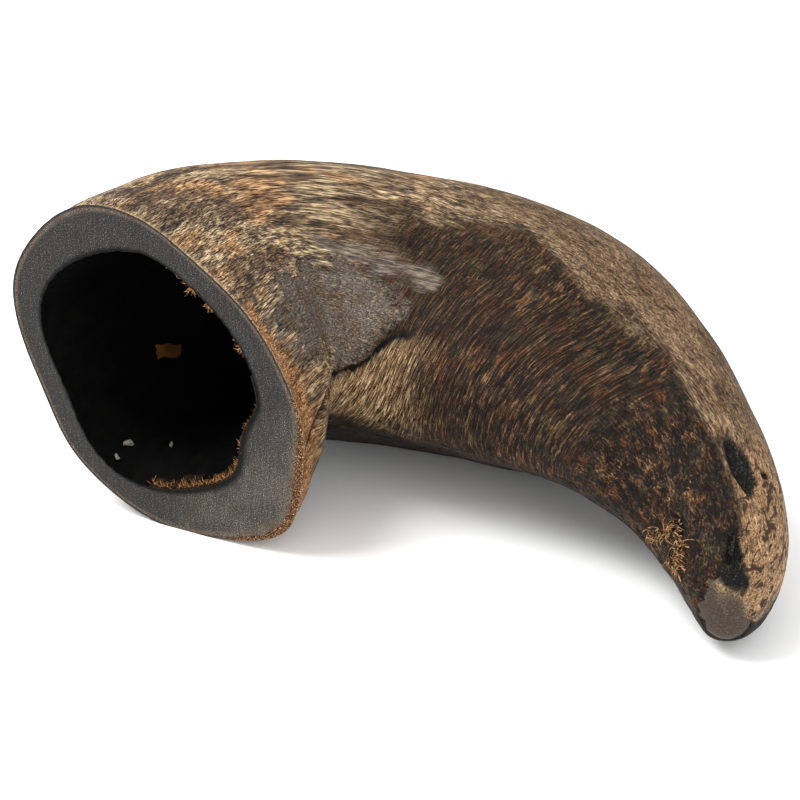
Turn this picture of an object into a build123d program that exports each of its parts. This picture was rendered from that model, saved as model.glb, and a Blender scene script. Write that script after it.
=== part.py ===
from build123d import *

import os
from math import cos, radians, sin

# A raw horn, hollow from its sawn wide end and solid at its blunt tip, lying on its side.
# The sawn end is an upright plane that faces -Y. The horn leaves it along +Y, curls round
# to +X and comes back, so the tip points to -Y too. Lengths are mm, angles are degrees.
# A place on the horn is its distance along the centre line and its angle round it: 0 is
# the inside of the curl, 90 the top, 180 the outside of the curl.

# ---- centre line, from the middle of the sawn end ----
SPINE_POINTS = (
    (0, 0, 0),
    (5, 49.5, -1.5),
    (36, 76.5, -8),
    (82.5, 82, -11),
    (128, 70, -17.5),
    (166, 46.5, -30.5),
    (185, 5.5, -37.5),
)
SAW_HEADING = (0, 1, 0)
TIP_HEADING = (0.1, -1, -0.1)

# ---- outer skin ----
# Radii of the sawn outline, every 22.5 degrees.
MOUTH_RADII = (50.5, 45.5, 44, 45, 51.5, 57, 56.5, 54.5, 48.5, 45.5, 48.5, 51.5, 55.5, 59, 64, 56)
# Mean radius at even steps along the centre line, from the sawn end to the tip.
MEAN_RADII = (52, 48.5, 44.5, 42.5, 43, 43.5, 43, 40, 33.5, 28, 23.5, 19, 8)
MOUTH_FADE = 100  # the sawn outline's own shape has died out here
# Distance, then how the section departs from round there, as shares of the mean radius:
# oval (level, slanting) and three-cornered (level, slanting).
SECTION_SHAPES = (
    (80, (-0.07, -0.05), (0.115, 0.005)),
    (180, (0.12, -0.005), (0.1, 0.095)),
    (280, (-0.095, 0.07), (0.01, 0.03)),
)
TIP_ROUNDING = 4.5

# ---- cavity ----
CAVITY_RADII = (37, 35.5, 35, 36.5, 40.5, 41.5, 43, 43.5, 39.5, 36.5, 40, 43.5, 42.5, 41, 40, 34.5)
# Mean radius at the same even steps, as far as the cavity goes.
CAVITY_MEAN_RADII = (39, 36, 33.5, 32, 31.5, 30, 26, 17)
CAVITY_ROUNDING = 8
SAW_OVERRUN = 2  # how far the cavity's cutter starts in front of the sawn face

# ---- weathered bark ----
BARK = 0.8  # its usual thickness
BARK_SWELL = 2.4  # what it gains at the sawn end, low on the inside of the curl
SWELL_ANGLE = -32
SWELL_HALF_WIDTH = 45
SWELL_LENGTH = 60
PARTING = 0.12  # hairline between the dry bark and the dense wall
LEDGE = 275  # the bark ends here, and the dense tip stands out of it
WORN_HEIGHT = 0.3  # where the horn rests, the bark is rubbed off up to this height
# Outline of the window where the bark has flaked off: distance, angle.
BARE_PATCH = ((10, 30), (35, 47), (70, 53), (100, 42), (108, 33), (95, 22), (60, 20), (25, 18))
PATCH_REACH = 14  # cutter depth each side of the skin
# Rotted gouges: distance, angle, length, width, depth, turn from the horn's length.
GOUGES = (
    (241, 105, 27, 7, 3, 10),
    (268.5, 96, 14, 6, 2.6, -20),
    (256, 40, 11, 3.5, 2.2, 0),
    (241, 124, 3, 2.2, 1.8, 0),
    (265, 113, 4, 3, 1.5, 30),
)

# ---- dried lining, frayed where it is left along the cavity's rim ----
LINING = 0.6
LINING_START = -96
LINING_TOOTH = 12  # degrees round, of each ragged length
LINING_DEPTHS = (5, 8, 4, 9, 13, 10, 14, 8, 5)

# ---- fibres and debris ----
# Bristles on the rim: angle, length, lean round the rim.
RIM_FIBRES = (
    (-52, 4.2, 20),
    (-58, 5, -15),
    (-61, 3.5, 10),
    (-73, 2.6, -20),
    (-77, 3.2, 15),
    (-81, 2.4, -5),
    (-85, 3.4, 25),
    (-89, 2.6, -15),
    (-93, 3, 10),
    (-98, 2.2, -25),
    (-104, 1.8, 15),
)
FIBRE_RADIUS = 0.45
FIBRE_TIP = 0.12
# Shreds of lining that hang into the opening: middle angle, width round, reach inward.
RIM_SHREDS = ((66, 9, 3.4), (53, 2.4, 3.6), (27, 6, 2.6), (-31, 4.4, 4.6))
SHRED_THICK = 0.7
SHRED_DEPTH = 1.2  # behind the sawn face
# Frayed fibres by the slot near the tip: distance, angle, rise, length, turn.
TUFT_FIBRES = (
    (249, 12, 2.5, 8, 200),
    (251, 18, 3.5, 9, 170),
    (254, 24, 3, 7, 140),
    (257, 28, 2.8, 6, 100),
    (260, 30, 3.2, 7, 60),
    (263, 29, 2.6, 6, 120),
    (266, 26, 3, 7, 80),
    (269, 22, 2.2, 5, 30),
)
TUFT_RADIUS = 0.4
# Debris on the cavity's floor: distance, angle, length, width, thickness, turn.
CHIP = (41, 215, 10, 4.2, 0.8, 20)
CRUMBS = (
    (12, 242, 3.2, 1.6, 0.8, 40),
    (4.5, 243, 2, 1, 0.7, 100),
    (21, 258, 1.4, 1, 0.7, 10),
)
SETTLE = 0.1  # hairline under loose debris
HOLLOW_CURVE = 20  # the cavity's radius of curvature where debris lies

POINTS_ROUND = 16
FULL_TURN = 360


def blend(value, low, high):
    """0 below low, 1 above high, and a smooth step between."""
    share = min(max((value - low) / (high - low), 0), 1)
    return share * share * (3 - 2 * share)


def mix(first, second, share):
    """Between two numbers, or between two groups of numbers."""
    if isinstance(first, tuple):
        return tuple(mix(a, b, share) for a, b in zip(first, second))
    return first + (second - first) * share


def read_off(table, distance):
    """A table's values at a distance, straight between its rows."""
    for before, after in zip(table, table[1:]):
        if distance <= after[0]:
            share = max((distance - before[0]) / (after[0] - before[0]), 0)
            return mix(before[1:], after[1:], share)
    return table[-1][1:]


SPINE = Spline(*SPINE_POINTS, tangents=[SAW_HEADING, TIP_HEADING], tangent_scalars=[1, 1])
STEP = SPINE.length / (len(MEAN_RADII) - 1)
STATIONS = [STEP * i for i in range(len(MEAN_RADII))]


def section_plane(distance):
    """Square to the centre line: x level and towards the inside of the curl, y upward."""
    if distance < 0:
        return Plane(origin=(0, distance, 0), x_dir=(1, 0, 0), z_dir=(0, -1, 0))
    share = distance / SPINE.length
    along = SPINE % share
    inward = along.cross(Vector(0, 0, 1))
    return Plane(origin=SPINE @ share, x_dir=inward, z_dir=-along)


def place_on(distance, angle, reach):
    """The point at a radius from the centre line."""
    turn = radians(angle)
    local = (reach * cos(turn), reach * sin(turn), 0)
    return section_plane(distance).from_local_coords(local)


# ---- radius rules ----


def listed_radius(radii, angle):
    """Radius of a listed outline, with a smooth step between its points."""
    place = angle / FULL_TURN * len(radii) % len(radii)
    first = int(place)
    return mix(radii[first], radii[(first + 1) % len(radii)], blend(place - first, 0, 1))


def body_shape(distance, angle):
    """Section radius as a share of the mean, where the horn is oval and three-cornered."""
    oval, corners = read_off(SECTION_SHAPES, distance)
    twice = radians(2 * angle)
    thrice = radians(3 * angle)
    ovalness = oval[0] * cos(twice) + oval[1] * sin(twice)
    return 1 + ovalness + corners[0] * cos(thrice) + corners[1] * sin(thrice)


def mean_radius(table, distance):
    """Straight between the table's even steps along the centre line."""
    place = min(max(distance / STEP, 0), len(table) - 1)
    first = min(int(place), len(table) - 2)
    return mix(table[first], table[first + 1], place - first)


def section_radius(outline, means, distance, angle):
    """The sawn outline's shape at the mouth, which turns into the body's own shape."""
    sawn_share = 1 - blend(distance, 0, MOUTH_FADE)
    sawn_shape = listed_radius(outline, angle) * len(outline) / sum(outline)
    return mean_radius(means, distance) * mix(body_shape(distance, angle), sawn_shape, sawn_share)


def outer_radius(distance, angle):
    return section_radius(MOUTH_RADII, MEAN_RADII, distance, angle)


def cavity_radius(distance, angle):
    return section_radius(CAVITY_RADII, CAVITY_MEAN_RADII, distance, angle)


def bark_thickness(distance, angle):
    """Thin all over, and thick where it is frayed at the sawn end."""
    away = abs((angle - SWELL_ANGLE + 180) % FULL_TURN - 180)
    round_it = 1 - blend(away, 0, SWELL_HALF_WIDTH)
    along_it = 1 - blend(distance, 0, SWELL_LENGTH)
    return BARK + BARK_SWELL * round_it * along_it


def wall_radius(distance, angle):
    return outer_radius(distance, angle) - bark_thickness(distance, angle)


def bark_inner_radius(distance, angle):
    return wall_radius(distance, angle) + PARTING


# ---- forms along the centre line ----


def section(distance, radius):
    """Closed smooth outline on the section plane, from a radius rule."""
    angles = [FULL_TURN * i / POINTS_ROUND for i in range(POINTS_ROUND)]
    points = [place_on(distance, angle, radius(distance, angle)) for angle in angles]
    return make_face(Spline(*points, periodic=True))


def horn_form(distances, radius):
    return loft([section(distance, radius) for distance in distances])


def rounded_end(form, distance, rounding):
    """The form with the edge of its end face at a distance rounded off."""
    middle = section_plane(distance).origin
    rims = [edge for edge in form.edges() if edge.is_closed]
    nearest = min(rims, key=lambda edge: (edge @ 0 - middle).length)
    return fillet(nearest, rounding)


def cavity_form(inset=0):
    """The hollow as a solid that starts in front of the sawn face, or a smaller one."""
    distances = [-SAW_OVERRUN] + STATIONS[: len(CAVITY_MEAN_RADII)]
    hollow = horn_form(distances, lambda distance, angle: cavity_radius(distance, angle) - inset)
    return rounded_end(hollow, distances[-1], CAVITY_ROUNDING)


def skin_plane(distance, angle, radius, lift=0):
    """Lies on a skin: x runs along the horn and z points away from the centre line."""
    half_step = 1.5
    here = place_on(distance, angle, radius(distance, angle))
    ahead = place_on(distance + half_step, angle, radius(distance + half_step, angle))
    behind = place_on(distance - half_step, angle, radius(distance - half_step, angle))
    left = place_on(distance, angle + half_step, radius(distance, angle + half_step))
    right = place_on(distance, angle - half_step, radius(distance, angle - half_step))
    along = (ahead - behind).normalized()
    outward = along.cross(left - right).normalized()
    if outward.dot(here - section_plane(distance).origin) < 0:
        outward = -outward
    return Plane(origin=here + outward * lift, x_dir=along, z_dir=outward)


def gouge(distance, angle, length, width, depth, turn):
    """A long hollow, as rot leaves it: an ellipsoid sunk to its depth."""
    pit = scale(Sphere(1), by=(length / 2, width / 2, depth))
    return skin_plane(distance, angle, outer_radius).location * Rot(0, 0, turn) * pit


def bare_patch():
    """Cutter for the window where the bark has flaked off."""
    middle_distance = sum(place[0] for place in BARE_PATCH) / len(BARE_PATCH)
    middle_angle = sum(place[1] for place in BARE_PATCH) / len(BARE_PATCH)
    plane = skin_plane(middle_distance, middle_angle, outer_radius)
    corners = []
    for distance, angle in BARE_PATCH:
        corner = plane.to_local_coords(place_on(distance, angle, outer_radius(distance, angle)))
        corners.append((corner.X, corner.Y, 0))
    outline = make_face(Spline(*corners, periodic=True))
    return plane.location * extrude(outline, PATCH_REACH, both=True)


# ---- the pieces ----


def horn_wall(cavity, pits):
    """The dense sheath: hollow from the sawn end, solid and rounded off at the tip."""
    sheath = horn_form(STATIONS, wall_radius)
    sheath = rounded_end(sheath, STATIONS[-1], TIP_ROUNDING)
    return sheath - cavity - pits


def outer_bark(wall, pits):
    """The weathered layer: ends in a ledge short of the tip, and is rubbed off beneath."""
    bark = horn_form(STATIONS, outer_radius) - horn_form(STATIONS, bark_inner_radius)
    tip_room = 2 * STEP
    tip_cutter = extrude(section_plane(LEDGE) * Circle(tip_room), -tip_room)
    worn_top = wall.bounding_box().min.Z + WORN_HEIGHT
    floor_room = 1000
    floor_cutter = Pos(0, 0, worn_top) * Box(
        floor_room, floor_room, floor_room, align=(Align.CENTER, Align.CENTER, Align.MAX)
    )
    return bark - tip_cutter - floor_cutter - bare_patch() - pits


def inner_lining():
    """What is left of the dried lining, in ragged lengths along the cavity's low rim."""
    film = cavity_form(PARTING) - cavity_form(PARTING + LINING)
    film_reach = 1.5 * max(CAVITY_RADII)
    lengths = []
    for i, depth in enumerate(LINING_DEPTHS):
        start = radians(LINING_START + LINING_TOOTH * i)
        end = radians(LINING_START + LINING_TOOTH * (i + 1))
        wedge = Polyline(
            (0, 0),
            (film_reach * cos(start), film_reach * sin(start)),
            (film_reach * cos(end), film_reach * sin(end)),
            close=True,
        )
        lengths.append(extrude(section_plane(0) * make_face(wedge), -depth))
    teeth = lengths[0].fuse(*lengths[1:])
    return film & teeth


def inward_plane(angle, depth, lean=0):
    """On the cavity's edge, z pointing into the opening, turned by a lean round the rim."""
    rim = place_on(depth, angle, cavity_radius(depth, angle) - PARTING)
    turn = radians(angle + 180 + lean)
    return Plane(origin=rim, x_dir=(0, 1, 0), z_dir=(cos(turn), 0, sin(turn)))


def free_part(shape, *solids):
    """The largest part of a shape that stands clear of the given solids."""
    for solid in solids:
        shape = shape - solid
    return shape.solids().sort_by(SortBy.VOLUME)[-1]


def rim_fibres(wall, lining):
    """Stiff bristles round the low rim, rooted in it and tapering to a point."""
    root = 1
    bristles = []
    for i, (angle, length, lean) in enumerate(RIM_FIBRES):
        depth = 0.8 + 0.5 * (i % 3)
        plane = inward_plane(angle, depth, lean)
        cone = Cone(
            FIBRE_RADIUS,
            FIBRE_TIP,
            length + root,
            align=(Align.CENTER, Align.CENTER, Align.MIN),
        )
        bristle = plane.location * Pos(0, 0, -root) * cone
        bristles.append(free_part(bristle, wall, lining))
    return bristles


def rim_shreds(wall, lining):
    """Flat shreds with ragged ends that hang from the rim into the opening."""
    root = 2
    shreds = []
    for angle, width, reach in RIM_SHREDS:
        plane = inward_plane(angle, SHRED_DEPTH)
        half = width / 2
        outline = Polyline(
            (-half, -root),
            (half, -root),
            (half * 0.9, reach * 0.3),
            (half * 0.3, reach * 0.45),
            (half * 0.1, reach),
            (-half * 0.4, reach * 0.8),
            (-half * 0.6, reach * 0.35),
            close=True,
        )
        across = Plane(origin=plane.origin, x_dir=plane.y_dir, z_dir=plane.x_dir)
        shred = extrude(across * make_face(outline), SHRED_THICK)
        shreds.append(free_part(shred, wall, lining))
    return shreds


def tip_tuft(wall, bark):
    """Curled fibres frayed out beside the slot near the tip."""
    root = 1.2
    fibres = []
    for distance, angle, rise, length, turn in TUFT_FIBRES:
        plane = skin_plane(distance, angle, outer_radius)
        arch = ThreePointArc((0, 0, -root), (length * 0.45, 0, rise), (length, 0, rise * 0.3))
        start = Plane(origin=arch @ 0, z_dir=arch % 0)
        fibre = sweep(start * Circle(TUFT_RADIUS), path=arch)
        fibres.append(free_part(plane.location * Rot(0, 0, turn) * fibre, wall, bark))
    return fibres


def debris(distance, angle, length, width, thickness, turn):
    """A flat flake that lies on the cavity's wall, where its two ends touch."""
    rise = length**2 / (8 * HOLLOW_CURVE)
    plane = skin_plane(distance, angle, cavity_radius, -SETTLE - rise - thickness / 2)
    flake = Box(length, width, thickness)
    flake = chamfer(flake.edges().filter_by(Axis.Z), width / 5)
    return plane.location * Rot(0, 0, turn) * flake


def solids_of(shape):
    """All the solids of a shape, or of a list of shapes."""
    if isinstance(shape, list):
        return [solid for item in shape for solid in solids_of(item)]
    return shape.solids()


def build_horn():
    """Every piece by name, in the frame of the centre line."""
    pits = [gouge(*row) for row in GOUGES]
    cavity = cavity_form()
    wall = horn_wall(cavity, pits)
    bark = outer_bark(wall, pits)
    lining = inner_lining()
    return {
        "horn_wall": wall,
        "outer_bark": bark,
        "inner_lining": lining,
        "rim_fibres": rim_fibres(wall, lining),
        "rim_shreds": rim_shreds(wall, lining),
        "tip_tuft": tip_tuft(wall, bark),
        "cavity_chip": debris(*CHIP),
        "cavity_crumbs": [debris(*row) for row in CRUMBS],
    }


def export_pieces(pieces):
    """Moves the origin to the middle of the underside and writes one file a piece."""
    box = Compound(solids_of(list(pieces.values()))).bounding_box()
    middle = box.center()
    origin = Pos(-middle.X, -middle.Y, -box.min.Z)
    os.makedirs("parts", exist_ok=True)
    for name, shape in pieces.items():
        export_step(origin * Compound(solids_of(shape)), f"parts/{name}.step")
    print("sawn end's middle:", origin.position)


if __name__ == "__main__":
    export_pieces(build_horn())
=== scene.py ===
"""Looks for a raw hollow horn: weathered bark over dense dark horn, sawn flat at the wide end."""
import math
import random

import bmesh
import bpy
import numpy as np
from mathutils import Matrix, Vector, noise
from mathutils.bvhtree import BVHTree


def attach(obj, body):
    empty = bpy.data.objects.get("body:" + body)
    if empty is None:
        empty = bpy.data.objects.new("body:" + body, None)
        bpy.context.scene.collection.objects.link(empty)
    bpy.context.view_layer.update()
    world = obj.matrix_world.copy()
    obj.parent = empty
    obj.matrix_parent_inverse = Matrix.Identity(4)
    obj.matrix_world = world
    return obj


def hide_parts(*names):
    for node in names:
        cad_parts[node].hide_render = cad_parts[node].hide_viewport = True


MM = 0.001

# The centre line of the horn from the middle of its sawn end, in mm, as the CAD part has it.
CENTRE_POINTS = (
    (0, 0, 0),
    (5, 49.5, -1.5),
    (36, 76.5, -8),
    (82.5, 82, -11),
    (128, 70, -17.5),
    (166, 46.5, -30.5),
    (185, 5.5, -37.5),
)
SAW_HEADING = (0, 1, 0)
TIP_HEADING = (0.1, -1, -0.1)
SAWN_MIDDLE = np.array((-72.43, -62.317, 55.231))  # the middle of the sawn end in the frame
TIP_PIVOT = 9  # the rings of the tip fan out from a point this far short of its end
CAVITY_END = 160  # the hollow's depth along the centre line
CAVITY_PIVOT = 146  # the rings of its closed end fan out from here

# Mesh fineness.
SEGMENTS = 288
BARK_STEP = 1.0  # mm between rings of the bark, on the centre line
WALL_STEP = 1.5
CAP_RINGS = 16
EASING = 9  # mm over which the fold between flare and curl is eased
SHARP = math.radians(55)  # edges that turn by more are not smoothed over
JUST_BEHIND = 0.15  # mm: rays in the sawn plane itself would slide along it

# The bark.
BARK = 0.8
SWELL = 2.4
SWELL_ANGLE = -32
SWELL_HALF_WIDTH = 45
SWELL_LENGTH = 60
LEDGE = 279.5
SINK = 0.5  # where bark is missing, its skin runs this far under the wall's surface
BARE_PATCH = ((5, 34), (49, 45), (77, 52.5), (100, 41), (111, 34), (98, 19), (81, 7.5), (22, 11))
SECOND_PATCH = ((60, 62), (84, 66), (112, 62), (128, 52), (122, 46), (98, 50), (78, 56))
CREASE = ((128, 27), (112, 22.5), (92, 7.5), (60, -5), (27, -11), (8, -20))
CREASE_HALF_WIDTH = 6
CREASE_SHADE_LINE = 1.4  # half width of the painted shade line at its bottom
CREASE_DEPTH = 2.2
RIDGE = ((-20, 52), (52, 79), (100, 88), (139, 97), (184, 97), (224, 95), (290, 104))

# How far the grain inside the curl leans along the horn: distance, lean.
GRAIN_LEAN = ((0, 1.2), (85, 1.0), (115, 0.7), (150, 0.1), (190, 0), (250, 0))

# Fullness of the flare beside the saw cut: distance, angle, half length, half width in degrees, rise.
BULGES = ((10, 118, 16, 38, 1.8), (9, -44, 14, 24, 2.2))

# Rot holes near the tip: distance, angle, half length, half width, depth, turn in degrees.
PITS = (
    (238, 105, 14, 4.2, 3.2, 8),
    (269, 94, 7.5, 3, 2.2, 14),
    (277.5, 100, 3.6, 6, 1.4, 0),
    (241, 125, 2.2, 2, 1.6, 0),
    (256, 41, 5, 2, 2.6, 0),
)

TUFT_SPOTS = ((248, 9), (252, 18), (254, 28), (256, 36), (263, 37), (266, 30), (268, 22), (264, 16))

# Shreds of lining on the rim: angle, spread in degrees, reach.
SHREDS = ((80, 2.5, 1.8), (73, 3, 2.6), (66, 3.5, 5), (60, 2.5, 2.2), (53, 1.8, 3.8), (33, 2.5, 3), (27, 2, 4))
SHREDS += ((-31, 2.2, 4.6),)

CAMERA_AZIMUTH = 26.02
CAMERA_ELEVATION = 29.21
CAMERA_PLACE = np.array((333, -508.85, 327.98))  # mm from the middle of the sawn end
LENS = 100
SENSOR = 36


# ---- small helpers ----


def smooth(low, high, value):
    """0 below low, 1 above high, with an even blend between. High may be the lower one."""
    share = np.clip((value - low) / (high - low), 0, 1)
    return share * share * (3 - 2 * share)


def linear(hex_colour):
    """An sRGB hex colour as linear RGBA."""
    parts = [int(hex_colour[i : i + 2], 16) / 255 for i in (1, 3, 5)]
    return [c / 12.92 if c < 0.04045 else ((c + 0.055) / 1.055) ** 2.4 for c in parts] + [1]


def turned(angle):
    """The angle's smallest equal, between -180 and 180."""
    return (angle + 180) % 360 - 180


# ---- the centre line ----


def clamped_curve(points, start, end, count=1200):
    """Places along the smooth curve through the points, with unit headings at its ends."""
    points = np.array(points, float)
    gaps = np.linalg.norm(np.diff(points, axis=0), axis=1)
    size = len(points)
    matrix = np.eye(size)
    wanted = np.zeros((size, 3))
    wanted[0] = np.array(start) / np.linalg.norm(start)
    wanted[-1] = np.array(end) / np.linalg.norm(end)
    for i in range(1, size - 1):
        before, after = gaps[i - 1], gaps[i]
        matrix[i, i - 1 : i + 2] = 1 / before, 2 / before + 2 / after, 1 / after
        rise = (points[i] - points[i - 1]) / before**2 + (points[i + 1] - points[i]) / after**2
        wanted[i] = 3 * rise
    slopes = np.linalg.solve(matrix, wanted)
    places = []
    for i, gap in enumerate(gaps):
        t = np.linspace(0, 1, count // len(gaps), endpoint=i == len(gaps) - 1)[:, None]
        places.append(
            (2 * t**3 - 3 * t**2 + 1) * points[i]
            + (t**3 - 2 * t**2 + t) * gap * slopes[i]
            + (3 * t**2 - 2 * t**3) * points[i + 1]
            + (t**3 - t**2) * gap * slopes[i + 1]
        )
    return np.concatenate(places)


PLACES = clamped_curve(CENTRE_POINTS, SAW_HEADING, TIP_HEADING)
TRAVEL = np.r_[0, np.cumsum(np.linalg.norm(np.diff(PLACES, axis=0), axis=1))]
LENGTH = TRAVEL[-1]
HEADINGS = np.gradient(PLACES, TRAVEL, axis=0)


def centre_frame(distance):
    """Place, heading, inward and up directions at a distance along the centre line, in mm."""
    place = np.array([np.interp(distance, TRAVEL, PLACES[:, k]) for k in range(3)])
    along = np.array([np.interp(distance, TRAVEL, HEADINGS[:, k]) for k in range(3)])
    if distance < 0.01:
        along = np.array(SAW_HEADING, float)
    along /= np.linalg.norm(along)
    inward = np.cross(along, (0, 0, 1))
    inward /= np.linalg.norm(inward)
    return place + SAWN_MIDDLE, along, inward, np.cross(inward, along)


# ---- the CAD surfaces, measured from the centre line ----


def surface_tree(node):
    """A search tree over a CAD node's faces."""
    return BVHTree.FromObject(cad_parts[node], bpy.context.evaluated_depsgraph_get())


def reach_out(tree, place, way, outer):
    """How far it is to the first face that looks away from the centre line, or towards it."""
    start = Vector(place * MM)
    way = Vector(way)
    travelled = 0
    for _ in range(6):
        hit, normal, _, gap = tree.ray_cast(start, way, 0.12)
        if hit is None:
            return None
        travelled += gap
        if (normal.dot(way) > 0) == outer:
            return travelled / MM
        start = hit + way * 1e-5
        travelled += 1e-5
    return None


class Rings:
    """Rings of rays round the centre line, with the reach of each ray to a surface."""

    def __init__(self, distances, pivot, cap_rings, tree, outer):
        self.rows = [(d, 0.0) for d in distances if d < pivot]
        self.rows += [(pivot, lean) for lean in np.linspace(0, 90, cap_rings)]
        self.angles = np.linspace(-180, 180, SEGMENTS + 1)
        count = (len(self.rows), SEGMENTS + 1)
        self.reach = np.zeros(count)
        self.origin = np.zeros(count + (3,))
        self.way = np.zeros(count + (3,))
        self.straight = np.zeros(count + (3,))
        turn = np.radians(self.angles)[:, None]
        for i, (distance, lean) in enumerate(self.rows):
            place, along, inward, up = centre_frame(max(distance, JUST_BEHIND))
            tilt = math.radians(lean)
            around = np.cos(turn) * inward + np.sin(turn) * up
            self.origin[i] = place
            self.way[i] = around * math.cos(tilt) + along * math.sin(tilt)
            reaches = [reach_out(tree, place, way, outer) for way in self.way[i, :-1]]
            self.reach[i, :-1] = self.filled(reaches, i)
            self.reach[i, -1] = self.reach[i, 0]
        self.lay_out_straight()
        self.surface = self.eased() if outer else self.origin + self.way * self.reach[..., None]

    def filled(self, reaches, row):
        """Rays that slip through a seam take the reach of the ring before."""
        before = self.reach[row - 1, :-1] if row else [40] * SEGMENTS
        return [b if r is None else r for r, b in zip(reaches, before)]

    def lay_out_straight(self):
        """Coordinates on the horn as if it were straightened, in mm, for grain that follows it."""
        lean = np.radians([row[1] for row in self.rows])[:, None]
        distance = np.array([row[0] for row in self.rows])[:, None]
        radius = self.reach * np.cos(lean)
        turn = np.radians(self.angles)[None, :]
        self.straight[..., 0] = np.cos(turn) * radius
        self.straight[..., 1] = np.sin(turn) * radius
        self.straight[..., 2] = distance + self.reach.mean(axis=1, keepdims=True) * lean
        self.distance = distance + self.reach * np.sin(lean) + 0 * turn
        self.angle = np.degrees(turn) + 0 * distance

    def eased(self):
        """The surface's points in mm, with the fold between flare and curl eased by averaging."""
        spots = self.origin + self.way * self.reach[..., None]
        share = smooth(6, 25, self.distance) * smooth(125, 95, self.distance)
        share = (share * smooth(-45, -15, self.angle) * smooth(95, 70, self.angle))[..., None] * 0.5
        step = self.rows[1][0] - self.rows[0][0]
        for _ in range(round((EASING / step) ** 2)):
            ahead = np.concatenate([spots[1:], spots[-1:]])
            behind = np.concatenate([spots[:1], spots[:-1]])
            spots = spots + share * ((ahead + behind) / 2 - spots)
        gap, along = distance_to_line(self, CREASE)
        fold = smooth(CREASE_HALF_WIDTH, 0, gap) ** 2 * smooth(0, 0.15, along) * smooth(1, 0.9, along)
        return spots - self.way * (CREASE_DEPTH * fold)[..., None]

    def points(self, lift=0):
        """The rings' points in metres, lifted off the surface by a number of mm."""
        spots = self.surface + self.way * (0 * self.reach + lift)[..., None]
        spots[..., 1] = np.maximum(spots[..., 1], SAWN_MIDDLE[1])
        spots[0, :, 1] = SAWN_MIDDLE[1]
        spots[..., 2] = np.maximum(spots[..., 2], 0.02)
        return spots * MM


# ---- patterns on the straightened horn ----


def grain(straight, across, along, seed, detail=2):
    """Noise from -1 to 1 with grains of the given size in mm, round the horn and along it."""
    flat = straight.reshape(-1, 3) / (across, across, along) + seed * 17.3
    values = [noise.fractal(spot, 1.0, 2.1, detail) for spot in flat]
    return np.clip(np.array(values).reshape(straight.shape[:2]), -1, 1)


def distance_to_line(rings, line):
    """Millimetres to a line of (distance, angle) corners, and how far along it the foot is."""
    nearest = np.full(rings.reach.shape, 1e9)
    share = np.zeros(rings.reach.shape)
    for k, (start, end) in enumerate(zip(line[:-1], line[1:])):
        scale = np.radians(1) * rings.reach
        step = np.array([end[0] - start[0], turned(end[1] - start[1])])
        east = rings.distance - start[0]
        north = turned(rings.angle - start[1]) * scale
        run = step[1] * scale
        foot = np.clip((east * step[0] + north * run) / (step[0] ** 2 + run**2), 0, 1)
        gap = np.hypot(east - foot * step[0], north - foot * run)
        closer = gap < nearest
        nearest = np.where(closer, gap, nearest)
        share = np.where(closer, (k + foot) / (len(line) - 1), share)
    return nearest, share


def depth_in_patch(rings, corners):
    """Millimetres inside a patch's outline; negative outside it."""
    gap, _ = distance_to_line(rings, corners + corners[:1])
    inside = np.zeros(gap.shape, bool)
    for start, end in zip(corners, corners[1:] + corners[:1]):
        span = (start[0] > rings.distance) != (end[0] > rings.distance)
        with np.errstate(divide="ignore", invalid="ignore"):
            slope = (end[1] - start[1]) * (rings.distance - start[0]) / (end[0] - start[0])
        inside ^= span & (rings.angle < start[1] + slope)
    return np.where(inside, gap, -gap)


def pit_depth(rings, pit):
    """0 to 1 towards the middle of a rot hole."""
    distance, angle, half_length, half_width, _, turn = pit
    east = rings.distance - distance
    north = turned(rings.angle - angle) * np.radians(1) * rings.reach
    turn = math.radians(turn)
    run = (east * math.cos(turn) + north * math.sin(turn)) / half_length
    side = (north * math.cos(turn) - east * math.sin(turn)) / half_width
    return np.clip(1 - np.hypot(run, side), 0, 1)


# ---- meshes from rows of points ----


def woven(name, rows, layers):
    """A mesh on a grid of points whose last column meets its first. Layers ride on its points."""
    mesh = bmesh.new()
    count, width = rows.shape[0], rows.shape[1]
    bmesh.ops.create_grid(mesh, x_segments=width - 1, y_segments=count - 1, size=1)
    made = {}
    for key, values in layers.items():
        kind = mesh.verts.layers.float_vector if values.ndim == 3 else mesh.verts.layers.float
        made[key] = kind.new(key)
    mesh.verts.ensure_lookup_table()
    for vert in mesh.verts:
        column = round((vert.co.x + 1) / 2 * (width - 1))
        row = round((vert.co.y + 1) / 2 * (count - 1))
        vert.co = rows[row, column]
        for key, layer in made.items():
            value = layers[key][row, column]
            vert[layer] = Vector(value) if layers[key].ndim == 3 else float(value)
    weld(mesh)
    return finished(name, mesh)


def weld(mesh):
    """Merges the doubles of a closed seam or pole and turns the faces outwards."""
    bmesh.ops.remove_doubles(mesh, verts=mesh.verts, dist=2e-6)
    bmesh.ops.dissolve_degenerate(mesh, edges=mesh.edges, dist=1e-7)
    bmesh.ops.recalc_face_normals(mesh, faces=mesh.faces)


def finished(name, mesh, smooth_faces=True):
    """A bmesh as an object in the scene."""
    data = bpy.data.meshes.new(name)
    for face in mesh.faces:
        face.smooth = smooth_faces
    for edge in mesh.edges:
        edge.smooth = edge.calc_face_angle(0) < SHARP
    mesh.to_mesh(data)
    mesh.free()
    piece = bpy.data.objects.new(name, data)
    bpy.context.scene.collection.objects.link(piece)
    return piece


# ---- the bark ----


def bark_depth(rings):
    """The bark's thickness in mm: thin, and swollen on the low inner side of the mouth."""
    around = smooth(1, 0, np.abs(turned(rings.angle - SWELL_ANGLE)) / SWELL_HALF_WIDTH)
    return BARK + SWELL * around * smooth(SWELL_LENGTH, 0, rings.distance)


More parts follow.
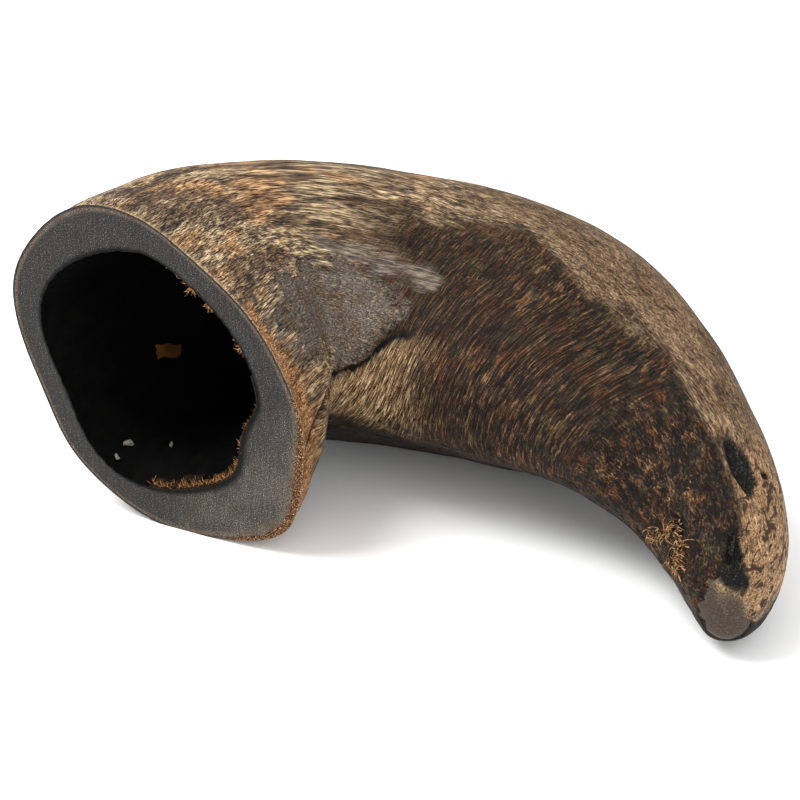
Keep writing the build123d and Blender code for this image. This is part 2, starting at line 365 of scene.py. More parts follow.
def fullness(rings):
    """What the flare gains beside the saw cut, in mm."""
    rise = 0 * rings.reach
    for distance, angle, half_length, half_width, height in BULGES:
        away = np.hypot((rings.distance - distance) / half_length, turned(rings.angle - angle) / half_width)
        rise += height * smooth(1, 0, away)
    return rise * smooth(0, 5, rings.distance)


def bark_relief(rings, marks):
    """The bark's fibres, flakes and hollows, in mm."""
    flat = rings.straight
    rough = 0.35 + 0.65 * marks["belly"]
    fibres = grain(flat, 2.6, 16, 1) * 0.16 + grain(flat, 1.5, 7, 2) * 0.07
    flakes = grain(flat, 6, 14, 3, 3) * 0.4
    waves = grain(flat, 22, 30, 4) * 0.7
    pores = -0.7 * smooth(0.25, 0.6, grain(flat, 3.2, 5, 5, 2)) * marks["belly"]
    edge = smooth(0, 10, rings.distance)
    return (fibres * (0.6 + 0.4 * rough) + flakes * rough + pores) * (0.35 + 0.65 * edge) + waves * edge


def bark_marks(rings):
    """Masks from 0 to 1 that the bark's shape and its material share."""
    wander = grain(rings.straight, 9, 16, 6, 3)
    fray = grain(rings.straight, 2.2, 7, 7, 3)
    patch = depth_in_patch(rings, BARE_PATCH) + wander * 6 + fray * 6
    band = depth_in_patch(rings, SECOND_PATCH) + wander * 3 + fray * 3
    crease, along_crease = distance_to_line(rings, CREASE)
    ridge_angle = np.interp(rings.distance, [r[0] for r in RIDGE], [r[1] for r in RIDGE])
    past_ridge = turned(rings.angle - ridge_angle) + wander * 9 + fray * 4
    reach_back = smooth(-140, -110, past_ridge)
    belly = smooth(8, -8, past_ridge) * smooth(60, 110, rings.distance + wander * 10)
    # The rot mask marks where the rot holes are painted near black as shade.
    rot = sum(smooth(0, 0.35, pit_depth(rings, pit) + fray * 0.1) for pit in PITS)
    # Painted shade: the underside, which faces down, is darkened.
    underside_shade = smooth(-8, -28, rings.angle + wander * 8) * smooth(-175, -150, rings.angle)
    crease_side = turned(rings.angle - np.interp(rings.distance, *zip(*sorted(CREASE))))
    low_side = smooth(2, -6, crease_side) * smooth(-75, -50, crease_side)
    rim_side = smooth(-50, -38, rings.angle) * smooth(46, 38, rings.angle)
    rust_width = 9 + 5 * wander + 12 * smooth(20, -20, rings.angle)
    outer_side = smooth(-6, 10, past_ridge) * smooth(95, 70, past_ridge)
    return {
        "fan": low_side * smooth(22, 45, rings.distance) * smooth(150, 105, rings.distance),
        "rust": rim_side * smooth(rust_width, rust_width * 0.4, rings.distance),
        "pale": outer_side * smooth(85, 150, rings.distance + 12 * wander),
        "tip": smooth(222, 242, rings.distance + 6 * wander) * smooth(92, 102, rings.angle + 6 * wander),
        "swell": smooth(8, -2, rings.angle + 8 * wander) * smooth(-75, -62, rings.angle + 8 * wander),
        "worn_edge": smooth(-7, 0, patch),
        "rim": smooth(1.2, 0.3, rings.distance) * smooth(-60, -20, rings.angle) * smooth(115, 95, rings.angle),
        "bare": smooth(-1.2, 1.2, patch),
        "band": smooth(-2, 3, band),
        # The crease mask is a line of painted shade along the bottom of the crease.
        "crease": smooth(CREASE_SHADE_LINE, CREASE_SHADE_LINE / 3, crease + fray) * smooth(0, 0.1, along_crease),
        "mottle": smooth(192, 214, rings.distance + 10 * wander),
        "belly": belly * reach_back,
        "rot": np.clip(rot, 0, 1),
        "underside_shade": underside_shade * smooth(20, 70, rings.distance + wander * 8),
    }


def lifted_bark(rings, marks):
    """How far the bark's skin stands off the wall's surface, in mm."""
    cover = 1 - marks["bare"]
    ledge = LEDGE + 1.6 * grain(rings.straight, 5, 30, 8)
    cover *= smooth(0.6, -0.6, rings.distance - ledge)
    lift = bark_depth(rings) + bark_relief(rings, marks) + fullness(rings)
    lift = lift * (1 - 0.8 * marks["band"]) + 0.25 * marks["band"]
    rim = sum(pit[4] * smooth(0, 0.5, pit_depth(rings, pit)) for pit in PITS)
    lift -= np.minimum(rim, 0.9)
    return np.maximum(lift, 0.12) * cover - SINK * (1 - cover)


def bark_skin(rings, marks, name):
    """The bark: a shell that is open at the sawn end's plane and follows the wall inside."""
    outside = rings.points(lifted_bark(rings, marks))
    inside = rings.points(-(SINK + 0.2) * smooth(0, 1.5, rings.distance))
    step = 6
    inner_rows = list(range(len(inside) - 1, 0, -step)) + [0]
    lip = outside[:1] * 0.94 + inside[:1] * 0.06
    rows = np.concatenate([outside, inside[inner_rows], lip, outside[:1]])
    order = list(range(len(outside))) + inner_rows + [0, 0]
    keep = {key: values[order] for key, values in marks.items()}
    keep["straight"] = rings.straight[order]
    turn = np.radians(rings.angles)
    depth = lifted_bark(rings, marks)[0]
    keep["straight"][len(outside) : -2, :, 0] -= np.cos(turn) * depth
    keep["straight"][len(outside) : -2, :, 1] -= np.sin(turn) * depth
    keep["slant"] = slanted(rings)[order]
    keep["cut"] = np.zeros(len(order))[:, None] + 0 * keep["bare"]
    keep["cut"][len(outside) : -1] = 1
    return woven(name, rows, keep)


def slanted(rings):
    """Coordinates in mm for the grain on the inside of the curl, which runs round the horn."""
    arc = np.radians(rings.angle) * rings.reach
    lean = np.interp(rings.distance, [r[0] for r in GRAIN_LEAN], [r[1] for r in GRAIN_LEAN])
    return np.stack([rings.distance - lean * arc, arc, 0 * arc], axis=-1)


# ---- the dense wall ----


def wall_solid(outer, cavity, name):
    """The wall: its outside, its sawn ring and its hollow, as one closed mesh."""
    grit = grain(outer.straight, 3, 12, 11, 3) * 0.12 + grain(outer.straight, 8, 30, 12) * 0.2
    shell = outer.points(grit * smooth(0, 8, outer.distance))
    hollow_grit = grain(cavity.straight, 4, 12, 13, 3) * 0.35
    edge_grit = grain(cavity.straight, 1.6, 4, 14, 3) * 0.35 * smooth(6, 0, cavity.distance)
    hollow = cavity.points(hollow_grit * smooth(0, 3, cavity.distance) + edge_grit)
    shares = np.linspace(0, 1, 8)[1:-1, None, None]
    ring = shell[:1] * (1 - shares) + hollow[:1] * shares
    rows = np.concatenate([shell[::-1], ring, hollow])
    blank = np.zeros(ring.shape[:2])
    zone = np.concatenate([np.zeros(shell.shape[:2]), blank + 0.5, np.ones(hollow.shape[:2])])
    ring_straight = outer.straight[:1] * (1 - shares) + cavity.straight[:1] * shares
    straight = np.concatenate([outer.straight[::-1], ring_straight, cavity.straight])
    nothing = 0 * hollow[..., 0]
    knob = smooth(255, 268, np.concatenate([outer.distance[::-1], blank, nothing]))
    # Where rot holes reach the bare wall, they are painted near black as shade.
    rot = sum(smooth(0, 0.3, pit_depth(outer, pit)) for pit in PITS) * smooth(281.4, 280, outer.distance)
    rot = np.concatenate([np.clip(rot, 0, 1)[::-1], blank, nothing])
    lip = smooth(277.5, 279.5, outer.distance) * smooth(281.6, 280.2, outer.distance)
    lip = np.concatenate([(0.7 * lip * smooth(60, 85, outer.angle))[::-1], blank, nothing])
    layers = {"zone": zone, "straight": straight, "knob": knob, "rot": rot, "lip": lip}
    return woven(name, rows, layers)


# ---- fibres and flakes ----


def strand(mesh, path, radius, tip_radius, sides=5):
    """A tapering fibre along a path of points, closed at both ends."""
    place = Matrix.Translation(path[0]) @ (path[1] - path[0]).to_track_quat("Z", "Y").to_matrix().to_4x4()
    made = bmesh.ops.create_circle(
        mesh, cap_ends=True, segments=sides, radius=radius, matrix=place
    )
    edges = list({e for v in made["verts"] for e in v.link_edges})
    ring = made["verts"]
    for k in range(1, len(path)):
        grown = bmesh.ops.extrude_edge_only(mesh, edges=edges)["geom"]
        ring = [g for g in grown if isinstance(g, bmesh.types.BMVert)]
        edges = [g for g in grown if isinstance(g, bmesh.types.BMEdge)]
        shrink = (radius + (tip_radius - radius) * k / (len(path) - 1)) / (
            radius + (tip_radius - radius) * (k - 1) / (len(path) - 1)
        )
        middle = sum((v.co for v in ring), Vector()) / len(ring)
        bmesh.ops.translate(mesh, verts=ring, vec=path[k] - middle)
        bmesh.ops.scale(
            mesh,
            verts=ring,
            vec=(shrink, shrink, shrink),
            space=Matrix.Translation(-path[k]),
        )
    bmesh.ops.holes_fill(mesh, edges=edges, sides=sides)


def curled_path(start, way, side, length, curl, steps=9):
    """Points of a fibre that leaves along one way and curls round another, in radians in all."""
    points = [start]
    heading = way.normalized()
    axis = heading.cross(side).normalized()
    for _ in range(steps):
        heading = Matrix.Rotation(curl / steps, 3, axis) @ heading
        points.append(points[-1] + heading * length / steps)
    return points


def bundle(name, roots, dice):
    """Many fibres as one piece. Roots are (start, way, side, length, curl, radius)."""
    mesh = bmesh.new()
    for start, way, side, length, curl, radius in roots:
        shaken = side + Vector([dice.uniform(-0.5, 0.5) for _ in range(3)])
        strand(mesh, curled_path(start, way, shaken, length, curl), radius, radius * 0.25)
    bmesh.ops.recalc_face_normals(mesh, faces=mesh.faces)
    return finished(name, mesh)


def rim_root(cavity, angle, depth):
    """A place on the hollow's edge, the way into the opening and the way round the rim."""
    column = int(round((angle + 180) / 360 * SEGMENTS)) % SEGMENTS
    spot = Vector(cavity.origin[0, column] + cavity.way[0, column] * cavity.reach[0, column]) * MM
    inward = -Vector(cavity.way[0, column])
    round_rim = Vector((-inward.z, 0, inward.x))
    return spot + Vector((0, depth * MM, 0)) - inward * 0.4 * MM, inward, round_rim


def rim_bristles(cavity):
    """Short stiff bristles along the low rim."""
    dice = random.Random(4)
    roots = []
    for _ in range(420):
        angle = dice.choice((dice.uniform(-96, -66), dice.uniform(-66, -40), dice.uniform(-46, -6)))
        start, inward, side = rim_root(cavity, angle, dice.uniform(0.2, 2.5))
        way = inward + side * dice.uniform(-0.8, 0.8) + Vector((0, dice.uniform(-0.1, 0.5), 0))
        length = dice.uniform(1.0, 4.0) * MM * (0.65 if angle > -40 else 1)
        roots.append((start, way, side, length, dice.uniform(-1.5, 1.5), dice.uniform(0.09, 0.2) * MM))
    return bundle("frayed_rim", roots, dice)


def hanging_shreds(cavity):
    """Ragged shreds that hang from the rim where the lining tore."""
    dice = random.Random(9)
    roots = []
    for angle, spread, reach in SHREDS:
        for _ in range(34):
            lean = dice.gauss(0, spread)
            start, inward, side = rim_root(cavity, angle + lean, dice.uniform(0.3, 1.6))
            length = reach * dice.uniform(0.3, 1.0) * MM * max(0.3, 1 - abs(lean) / 5)
            way = inward + side * dice.uniform(-0.6, 0.6)
            roots.append((start, way, side, length, dice.uniform(-2, 2), dice.uniform(0.16, 0.36) * MM))
    return bundle("torn_shreds", roots, dice)


def tip_curls(rings):
    """The curly tuft that frays out beside the slot near the tip."""
    dice = random.Random(12)
    roots = []
    distances = [row[0] if row[1] == 0 else -99 for row in rings.rows]
    for distance, angle in TUFT_SPOTS:
        for _ in range(22):
            row = int(np.argmin(np.abs(np.array(distances) - distance - dice.uniform(-2.5, 2.5))))
            column = int((angle + dice.uniform(-6, 6) + 180) / 360 * SEGMENTS)
            way = Vector(rings.way[row, column])
            start = Vector(rings.surface[row, column]) * MM + way * BARK * MM
            side = Vector([dice.uniform(-1, 1) for _ in range(3)])
            length = dice.uniform(3, 9) * MM
            thick = dice.uniform(0.12, 0.3) * MM
            roots.append((start, way + side * 1.2, side, length, dice.uniform(2, 5), thick))
    return bundle("curly_tuft", roots, dice)


def ragged_flake(node, name, raggedness):
    """A CAD chip or flake with a broken outline."""
    mesh = bmesh.new()
    mesh.from_mesh(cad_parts[node].data)
    bmesh.ops.remove_doubles(mesh, verts=mesh.verts, dist=1e-6)
    long_edges = [e for e in mesh.edges if e.calc_length() > 0.4 * MM]
    bmesh.ops.subdivide_edges(mesh, edges=long_edges, cuts=3, use_grid_fill=True)
    bmesh.ops.triangulate(mesh, faces=mesh.faces)
    for vert in mesh.verts:
        vert.co += noise.noise_vector(vert.co / (1.6 * MM)) * raggedness * MM
    bmesh.ops.recalc_face_normals(mesh, faces=mesh.faces)
    return finished(name, mesh)


# ---- materials ----


class Finish:
    """A node material that is built up step by step."""

    def __init__(self, name):
        self.material = bpy.data.materials.new(name)
        self.material.use_nodes = True
        self.tree = self.material.node_tree
        self.shader = self.tree.nodes["Principled BSDF"]

    def add(self, kind, links=None, **settings):
        """Adds a node. Links name its inputs: a socket to join or a value to set."""
        node = self.tree.nodes.new(kind)
        for key, value in settings.items():
            setattr(node, key, value)
        for key, value in (links or {}).items():
            self.join(node.inputs[key], value)
        return node

    def join(self, socket, value):
        """Links a socket to another, or sets its value."""
        if isinstance(value, bpy.types.NodeSocket):
            self.tree.links.new(value, socket)
        else:
            socket.default_value = value

    def mark(self, name, vector=False):
        """One of the piece's own attributes."""
        node = self.add("ShaderNodeAttribute", attribute_name=name)
        return node.outputs["Vector" if vector else "Fac"]

    def streaks(self, across, along, detail=3, rough=0.6, seed=0, warp=0.0, layout="straight"):
        """Noise on the straightened horn with grains of the given size in mm."""
        scale = (1 / across, 1 / across, 1 / along)
        if layout == "slant":
            scale = (1 / across, 1 / along, 1)
        node = self.add(
            "ShaderNodeMapping",
            {"Vector": self.mark(layout, True), "Scale": scale, "Location": (seed, seed * 2, seed)},
        )
        spots = self.add(
            "ShaderNodeTexNoise",
            {"Vector": node.outputs[0], "Scale": 1.0, "Detail": detail, "Roughness": rough, "Distortion": warp},
        )
        return spots.outputs["Fac"]

    def ramp(self, value, *stops):
        """A colour ramp of (place, hex colour) or (place, grey) stops."""
        node = self.add("ShaderNodeValToRGB", {"Fac": value})
        stripe = node.color_ramp
        while len(stripe.elements) < len(stops):
            stripe.elements.new(0.5)
        for element, (place, colour) in zip(stripe.elements, stops):
            element.position = place
            element.color = linear(colour) if isinstance(colour, str) else (colour, colour, colour, 1)
        return node.outputs["Color"]

    def mix(self, share, first, second, way="MIX"):
        """A blend of two colours."""
        node = self.add("ShaderNodeMix", data_type="RGBA", blend_type=way)
        colours = [s for s in node.inputs if s.type == "RGBA"]
        self.join(node.inputs[0], share)
        self.join(colours[0], linear(first) if isinstance(first, str) else first)
        self.join(colours[1], linear(second) if isinstance(second, str) else second)
        return [s for s in node.outputs if s.type == "RGBA"][0]

    def sum(self, way, first, second, clamp=False):
        """One step of arithmetic on two values."""
        node = self.add("ShaderNodeMath", {0: first, 1: second}, operation=way, use_clamp=clamp)
        return node.outputs[0]

    def bump(self, height, strength, depth_mm, before=None):
        """A bump of real depth, laid over an earlier one."""
        links = {"Height": height, "Strength": strength, "Distance": depth_mm * MM}
        if before is not None:
            links["Normal"] = before
        return self.add("ShaderNodeBump", links).outputs["Normal"]

    def done(self, colour, rough, normal, sheen=0.12):
        """Joins colour, roughness and normal to the shader."""
        self.join(self.shader.inputs["Base Color"], colour)
        self.join(self.shader.inputs["Roughness"], rough)
        self.join(self.shader.inputs["Normal"], normal)
        self.shader.inputs["Specular IOR Level"].default_value = sheen
        return self.material


def blend_of(f, *parts):
    """A weighted sum of values: (value, weight) pairs."""
    total = None
    for value, weight in parts:
        share = f.sum("MULTIPLY", value, weight)
        total = share if total is None else f.sum("ADD", total, share)
    return total


def weathered_bark():
    """Weathered fibrous horn bark: cream and tan fibres over brown and black, with painted shade on the
    underside, inside the curl, along the crease and in the rot holes.
    """
    f = Finish("weathered_bark")
    fibre = blend_of(f, (f.streaks(0.22, 4.5, 2, 0.6, 1, 0.15), 0.5), (f.streaks(0.45, 9, 2, 0.6, 5, 0.2), 0.5))
    coarse = f.streaks(1.5, 9, 3, 0.6, 9, 0.5)
    flecks = f.streaks(0.45, 0.8, 3, 0.7, 13, 0.8)
    wear = blend_of(f, (fibre, 0.75), (coarse, 0.25))
    colour = f.mix(f.mark("pale"), upper_bark(f, wear), pale_bark(f, wear, flecks))
    grit = inner_grit(f, flecks)
    # Inside the curl the bark is dark, and it is painted darker still as shade, since this side faces down.
    colour = f.mix(f.mark("belly"), colour, dark_and_shaded_bark(f, grit))
    fan = f.ramp(grit, (0.42, "#150f0b"), (0.48, "#45321f"), (0.53, "#987751"), (0.61, "#e6d2ae"))
    colour = f.mix(f.mark("fan"), colour, fan)
    # Painted shade: the underside is a darker copy of the bark's fibres, near black between them.
    underside_shade = f.ramp(wear, (0.46, "#0c0a09"), (0.54, "#1e1813"), (0.6, "#463a2c"), (0.67, "#857660"))
    colour = f.mix(f.mark("underside_shade"), colour, underside_shade)
    colour = f.mix(f.mark("band"), colour, f.ramp(wear, (0.42, "#352f2b"), (0.5, "#5b5249"), (0.58, "#8d7e6b")))
    worn = f.sum("MULTIPLY", f.mark("worn_edge"), f.ramp(flecks, (0.46, 0.0), (0.53, 1.0)))
    colour = f.mix(worn, colour, f.ramp(wear, (0.42, "#3a332e"), (0.5, "#5d5650"), (0.58, "#83796c")))
    rust_grit = blend_of(f, (flecks, 0.5), (wear, 0.5))
    rust = f.ramp(rust_grit, (0.42, "#29180e"), (0.48, "#73492b"), (0.53, "#a6774d"), (0.59, "#d9b88d"))
    torn = f.ramp(rust_grit, (0.44, "#0d0805"), (0.49, "#3a2212"), (0.54, "#7a512f"), (0.6, "#cdb089"))
    colour = f.mix(f.mark("rust"), colour, rust)
    colour = f.mix(f.sum("MULTIPLY", f.ramp(flecks, (0.44, 0.0), (0.54, 0.9)), f.mark("rim")), colour, "#c6a883")
    tip = f.ramp(blend_of(f, (wear, 0.7), (flecks, 0.3)), (0.41, "#453223"), (0.47, "#72563c"), (0.52, "#957455"), (0.6, "#c9aa82"))
    worms = f.ramp(f.streaks(2.6, 5, 2, 0.5, 23, 0.9), (0.4, 1.0), (0.47, 0.0))
    tip = f.mix(worms, tip, "#3b2a1d")
    colour = f.mix(f.mark("tip"), colour, tip)
    # Painted shade: a near-black line along the bottom of the crease.
    colour = f.mix(f.mark("crease"), colour, "#080605")
    # Painted shade: the rot holes are coloured near black, standing in for the shade inside them.
    rot = f.ramp(flecks, (0.4, "#040404"), (0.58, "#121110"), (0.68, "#4d4a46"))
    colour = f.mix(f.mark("rot"), colour, rot)
    colour = f.mix(f.mark("cut"), colour, f.mix(f.mark("swell"), sawn_colour(f), torn))
    height = f.mix(f.mark("belly"), blend_of(f, (wear, 0.75), (flecks, 0.25)), grit)
    height = f.mix(f.mark("cut"), height, fine_dust(f))
    rough = f.ramp(coarse, (0.3, 0.6), (0.7, 0.8))
    return f.done(colour, rough, f.bump(height, 0.8, 0.6))


def upper_bark(f, wear):
    """The top near the mouth: cream fibres over black, in patches of grey, tan and brown."""
    grey = f.ramp(wear, (0.42, "#1f1b18"), (0.48, "#54483c"), (0.53, "#997f5f"), (0.6, "#dcc49c"))
    tan = f.ramp(wear, (0.42, "#2b1d13"), (0.48, "#6a4d34"), (0.53, "#a17a52"), (0.61, "#d8b485"))
    brown = f.ramp(wear, (0.44, "#1b140f"), (0.5, "#43332a"), (0.56, "#64503c"), (0.64, "#a1855f"))
    first = f.ramp(f.streaks(12, 24, 4, 0.65, 19, 0.5), (0.47, 0.0), (0.57, 1.0))
    second = f.ramp(f.streaks(9, 30, 4, 0.65, 31, 0.5), (0.49, 0.0), (0.58, 0.9))
    return f.mix(second, f.mix(first, grey, tan), brown)


def pale_bark(f, wear, flecks):
    """The outer curve: pale tan, finely frayed, with browner stretches."""
    grain_height = blend_of(f, (wear, 0.7), (flecks, 0.3))
    light = f.ramp(grain_height, (0.41, "#281d17"), (0.47, "#4e3c2d"), (0.52, "#715a44"), (0.6, "#9f8666"))
    dull = f.ramp(grain_height, (0.41, "#17110e"), (0.48, "#3b2c20"), (0.54, "#614a34"), (0.62, "#957752"))
    return f.mix(f.ramp(f.streaks(10, 22, 4, 0.65, 61, 0.6), (0.48, 0.0), (0.6, 0.9)), light, dull)


def inner_grit(f, flecks):
    """The height pattern inside the curl: fibres across the horn, then mottled to the tip."""
    cross = blend_of(
        f,
        (f.streaks(0.36, 3.2, 3, 0.62, 3, 0.4, "slant"), 0.5),
        (f.streaks(1.1, 8, 3, 0.62, 7, 0.6, "slant"), 0.5),
    )
    mottle = blend_of(f, (f.streaks(0.55, 2.4, 3, 0.6, 43, 0.6), 0.45), (flecks, 0.25), (f.streaks(3, 7, 2, 0.5, 47), 0.28))
    cross = blend_of(f, (cross, 0.8), (flecks, 0.2))
    return f.mix(f.mark("mottle"), cross, mottle)


def dark_and_shaded_bark(f, grit):
    """Inside the curl: dark bark with tan, rusty and olive fibres, painted nearly black as shade."""
    tan = f.ramp(grit, (0.44, "#0d0a08"), (0.5, "#241912"), (0.54, "#463120"), (0.61, "#8f6c48"))
    rusty = f.ramp(grit, (0.44, "#0f0a07"), (0.5, "#2b1a10"), (0.55, "#4f301a"), (0.63, "#8a5a32"))
    olive = f.ramp(grit, (0.44, "#0f0c0a"), (0.5, "#271f17"), (0.56, "#493b27"), (0.64, "#7a633b"))
    first = f.ramp(f.streaks(8, 12, 4, 0.65, 41, 0.5), (0.46, 0.0), (0.58, 1.0))
    second = f.ramp(f.streaks(7, 9, 4, 0.65, 51, 0.5), (0.5, 0.0), (0.6, 0.9))
    colour = f.mix(second, f.mix(first, tan, olive), rusty)
    shade = f.ramp(f.streaks(14, 18, 4, 0.65, 71, 0.5), (0.4, 0.7), (0.6, 1.0))
    return f.mix(1.0, colour, shade, "MULTIPLY")


def fine_dust(f):
    """The height of a sawn face: upright saw lines and fine specks."""
    place = f.add("ShaderNodeTexCoord").outputs["Object"]
    lines = f.add("ShaderNodeMapping", {"Vector": place, "Scale": (2200, 300, 160)})
    saw = f.add("ShaderNodeTexNoise", {"Vector": lines.outputs[0], "Scale": 1.0, "Detail": 3.0})
    speck = f.add("ShaderNodeTexNoise", {"Vector": place, "Scale": 2600.0, "Detail": 3.0, "Roughness": 0.65})
    return blend_of(f, (saw.outputs["Fac"], 0.14), (speck.outputs["Fac"], 0.86))


def sawn_colour(f):
    """Sawn dark horn: near black grey with pale specks of dust and a dustier low side."""
    height = fine_dust(f)
    dust = f.ramp(height, (0.4, "#1f1d1c"), (0.5, "#2a2826"), (0.57, "#383532"), (0.64, "#76706a"))
    dusty = f.ramp(height, (0.4, "#37322e"), (0.5, "#4b453f"), (0.56, "#645c52"), (0.63, "#a39888"))
    low_side = f.add(
        "ShaderNodeVectorMath",
        {0: f.mark("straight", True), 1: (0.72, -0.69, 0)},
        operation="DOT_PRODUCT",
    )
    share = f.add("ShaderNodeMapRange", {"Value": low_side.outputs["Value"], "From Min": 30.0, "From Max": 58.0})
    place = f.add("ShaderNodeTexCoord").outputs["Object"]
    cloud = f.add("ShaderNodeTexNoise", {"Vector": place, "Scale": 90.0, "Detail": 4.0})
    patchy = f.ramp(cloud.outputs["Fac"], (0.4, 0.45), (0.6, 1.0))
    return f.mix(f.sum("MULTIPLY", share.outputs[0], patchy), dust, dusty)


def dense_horn():
    """Dense black-grey horn: worn outside, sawn at the ring, painted near black as shade in the hollow and the
    rot holes.
    """
    f = Finish("dense_horn")
    scratch = blend_of(f, (f.streaks(0.22, 6, 3, 0.7, 3, 0.2), 0.6), (f.streaks(0.7, 1.2, 4, 0.7, 6), 0.4))
    cloud = f.streaks(6, 14, 4, 0.6, 7)
    worn = f.ramp(scratch, (0.42, "#2f2a27"), (0.5, "#4e4741"), (0.56, "#6b6157"), (0.62, "#a09079"))
    brownish = f.ramp(scratch, (0.42, "#2a211b"), (0.5, "#483a2f"), (0.57, "#6b5641"), (0.64, "#a88a64"))
    worn = f.mix(f.ramp(cloud, (0.46, 0.0), (0.6, 0.8)), worn, brownish)
    place = f.add("ShaderNodeTexCoord").outputs["Object"]
    knurl = f.add("ShaderNodeTexNoise", {"Vector": place, "Scale": 700.0, "Detail": 5.0, "Roughness": 0.65})
    fine = blend_of(f, (f.streaks(0.5, 6, 2, 0.5, 17, 0.3), 0.75), (knurl.outputs["Fac"], 0.25))
    knob = f.ramp(fine, (0.36, "#342b25"), (0.5, "#40362e"), (0.64, "#4f443a"), (0.76, "#6a5c4c"))
    worn = f.mix(f.mark("knob"), worn, knob)
    worn = f.mix(f.mark("lip"), worn, f.ramp(fine, (0.42, "#5c4836"), (0.5, "#8d7355"), (0.6, "#b79a75")))
    # Painted shade: near black in the rot holes.
    worn = f.mix(f.mark("rot"), worn, f.ramp(fine, (0.45, "#050404"), (0.62, "#191614")))
    # Painted shade: the hollow is coloured near black, standing in for the shade inside it.
    hollow = f.ramp(f.streaks(2, 8, 4, 0.7, 2), (0.45, "#010101"), (0.66, "#040302"), (0.8, "#130c07"))
    zone = f.mark("zone")
    inside = f.ramp(zone, (0.55, 0.0), (0.85, 1.0))
    on_ring = f.ramp(zone, (0.2, 0.0), (0.45, 1.0))
    colour = f.mix(inside, f.mix(on_ring, worn, sawn_colour(f)), hollow)
    height = f.mix(on_ring, f.mix(f.mark("knob"), scratch, fine), fine_dust(f))
    rough = f.mix(f.mark("knob"), f.ramp(cloud, (0.3, 0.5), (0.7, 0.65)), f.ramp(cloud, (0.3, 0.32), (0.7, 0.5)))
    return f.done(colour, rough, f.bump(height, 0.5, 0.25))


def plain_finish(name, dark, light, grain_mm, rough=0.75):
    """A fibre or flake finish: two colours over a fine grain."""
    f = Finish(name)
    place = f.add("ShaderNodeTexCoord").outputs["Object"]
    spots = f.add(
        "ShaderNodeTexNoise", {"Vector": place, "Scale": 1 / (grain_mm * MM), "Detail": 3.0}
    ).outputs["Fac"]
    colour = f.ramp(spots, (0.35, dark), (0.65, light))
    return f.done(colour, f.ramp(spots, (0.3, rough - 0.1), (0.7, rough)), f.bump(spots, 0.4, 0.2))


def dress(piece, material):
    """Gives a piece its one material."""
    piece.data.materials.clear()
    piece.data.materials.append(material)


def stand_in(piece, node, material):
    """Shows a piece in place of a CAD node."""
    dress(piece, material)
    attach(piece, "root")
    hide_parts(node)


# ---- the setting ----


def pale_floor():
    """A plain floor, far wider than the horn."""
    mesh = bmesh.new()
    bmesh.ops.create_grid(mesh, x_segments=1, y_segments=1, size=6)
    floor = finished("floor", mesh)
    f = Finish("floor_paper")
    f.done(linear("#ffffff"), 0.9, f.bump(f.add("ShaderNodeTexNoise").outputs["Fac"], 0.0, 0.01))
    dress(floor, f.material)


def soft_light(name, place, size, power, target=(0, 0, 0.05)):
    """A large square lamp that faces the horn."""
    lamp = bpy.data.lights.new(name, "AREA")
    lamp.size = size
    lamp.energy = power
    holder = bpy.data.objects.new(name, lamp)
    holder.location = place
    holder.rotation_euler = (Vector(target) - Vector(place)).to_track_quat("-Z", "Y").to_euler()
    bpy.context.scene.collection.objects.link(holder)


def camera():
    """The camera: a long lens from the front, right and above."""
    lens = bpy.data.cameras.new("camera")
    lens.lens = LENS
    lens.sensor_width = SENSOR
    holder = bpy.data.objects.new("camera", lens)
    holder.location = (CAMERA_PLACE + SAWN_MIDDLE) * MM
    holder.rotation_euler = (
        math.radians(90 - CAMERA_ELEVATION),
        0,
        math.radians(CAMERA_AZIMUTH),
    )
    bpy.context.scene.collection.objects.link(holder)
    bpy.context.scene.camera = holder


def bright_room():
    """White surroundings, so that shadows stay soft."""
    world = bpy.data.worlds.new("room")
    world.use_nodes = True
    world.node_tree.nodes["Background"].inputs["Color"].default_value = (1, 1, 1, 1)
    world.node_tree.nodes["Background"].inputs["Strength"].default_value = 1.0
    bpy.context.scene.world = world


# ---- the scene ----

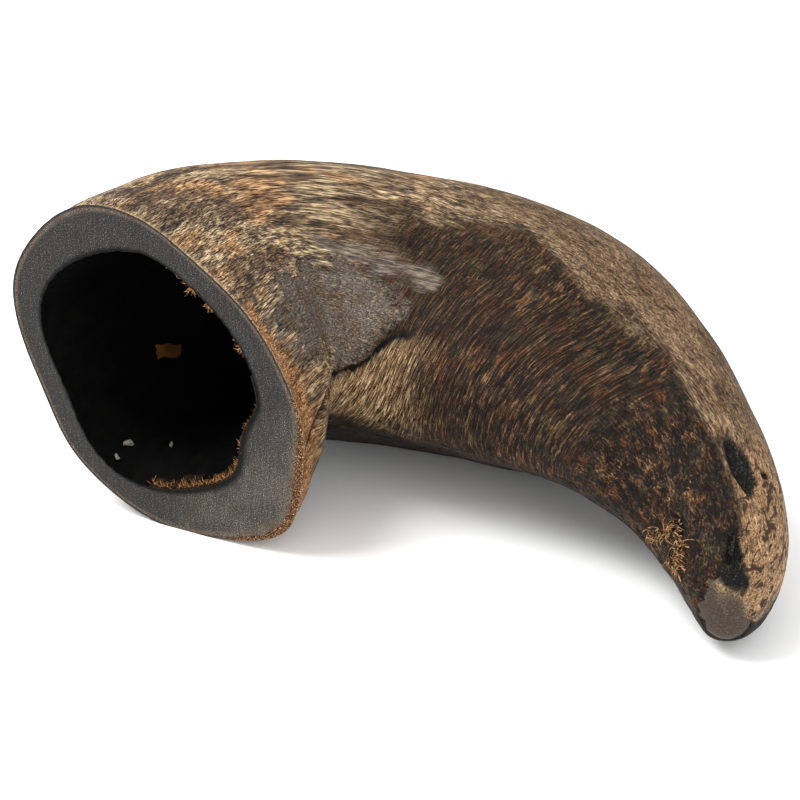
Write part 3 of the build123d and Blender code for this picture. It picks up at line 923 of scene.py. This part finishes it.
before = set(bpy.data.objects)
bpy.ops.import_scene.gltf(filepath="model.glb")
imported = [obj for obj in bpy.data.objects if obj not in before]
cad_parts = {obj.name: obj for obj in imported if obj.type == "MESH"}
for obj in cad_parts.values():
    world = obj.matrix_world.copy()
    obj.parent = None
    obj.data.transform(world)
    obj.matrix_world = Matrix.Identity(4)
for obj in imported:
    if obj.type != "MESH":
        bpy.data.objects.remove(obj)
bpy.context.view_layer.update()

wall_tree = surface_tree("horn_wall")
near_end = np.arange(0, LENGTH, BARK_STEP)
bark_rings = Rings(near_end, LENGTH - TIP_PIVOT, CAP_RINGS, wall_tree, True)
wall_rings = Rings(np.arange(0, LENGTH, WALL_STEP), LENGTH - TIP_PIVOT, CAP_RINGS, wall_tree, True)
hollow_rings = Rings(np.arange(0, CAVITY_END, WALL_STEP), CAVITY_PIVOT, CAP_RINGS, wall_tree, False)

bark = bark_skin(bark_rings, bark_marks(bark_rings), "bark_skin")
stand_in(bark, "outer_bark", weathered_bark())
stand_in(wall_solid(wall_rings, hollow_rings, "dense_wall"), "horn_wall", dense_horn())
fibre = plain_finish("frayed_fibre", "#4f2e16", "#bd8a55", 0.9)
stand_in(rim_bristles(hollow_rings), "rim_fibres", fibre)
stand_in(hanging_shreds(hollow_rings), "rim_shreds", fibre)
curls = plain_finish("curly_fibre", "#2f1d0f", "#b0875a", 1.1)
stand_in(tip_curls(bark_rings), "tip_tuft", curls)

dress(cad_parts["inner_lining"], plain_finish("dried_lining", "#070503", "#24170c", 0.8))
amber = plain_finish("amber_chip", "#3f260c", "#5f3b14", 7)
stand_in(ragged_flake("cavity_chip", "amber_chip", 1.1), "cavity_chip", amber)
pale = plain_finish("pale_flake", "#5c5b50", "#8d8c79", 0.8)
stand_in(ragged_flake("cavity_crumbs", "pale_flakes", 0.6), "cavity_crumbs", pale)

pale_floor()
bright_room()
soft_light("key", (-0.9, -0.5, 1.6), 1.0, 34)
soft_light("fill", (1.2, -0.8, 0.9), 1.2, 8)
camera()
bpy.context.scene.view_settings.view_transform = "Standard"
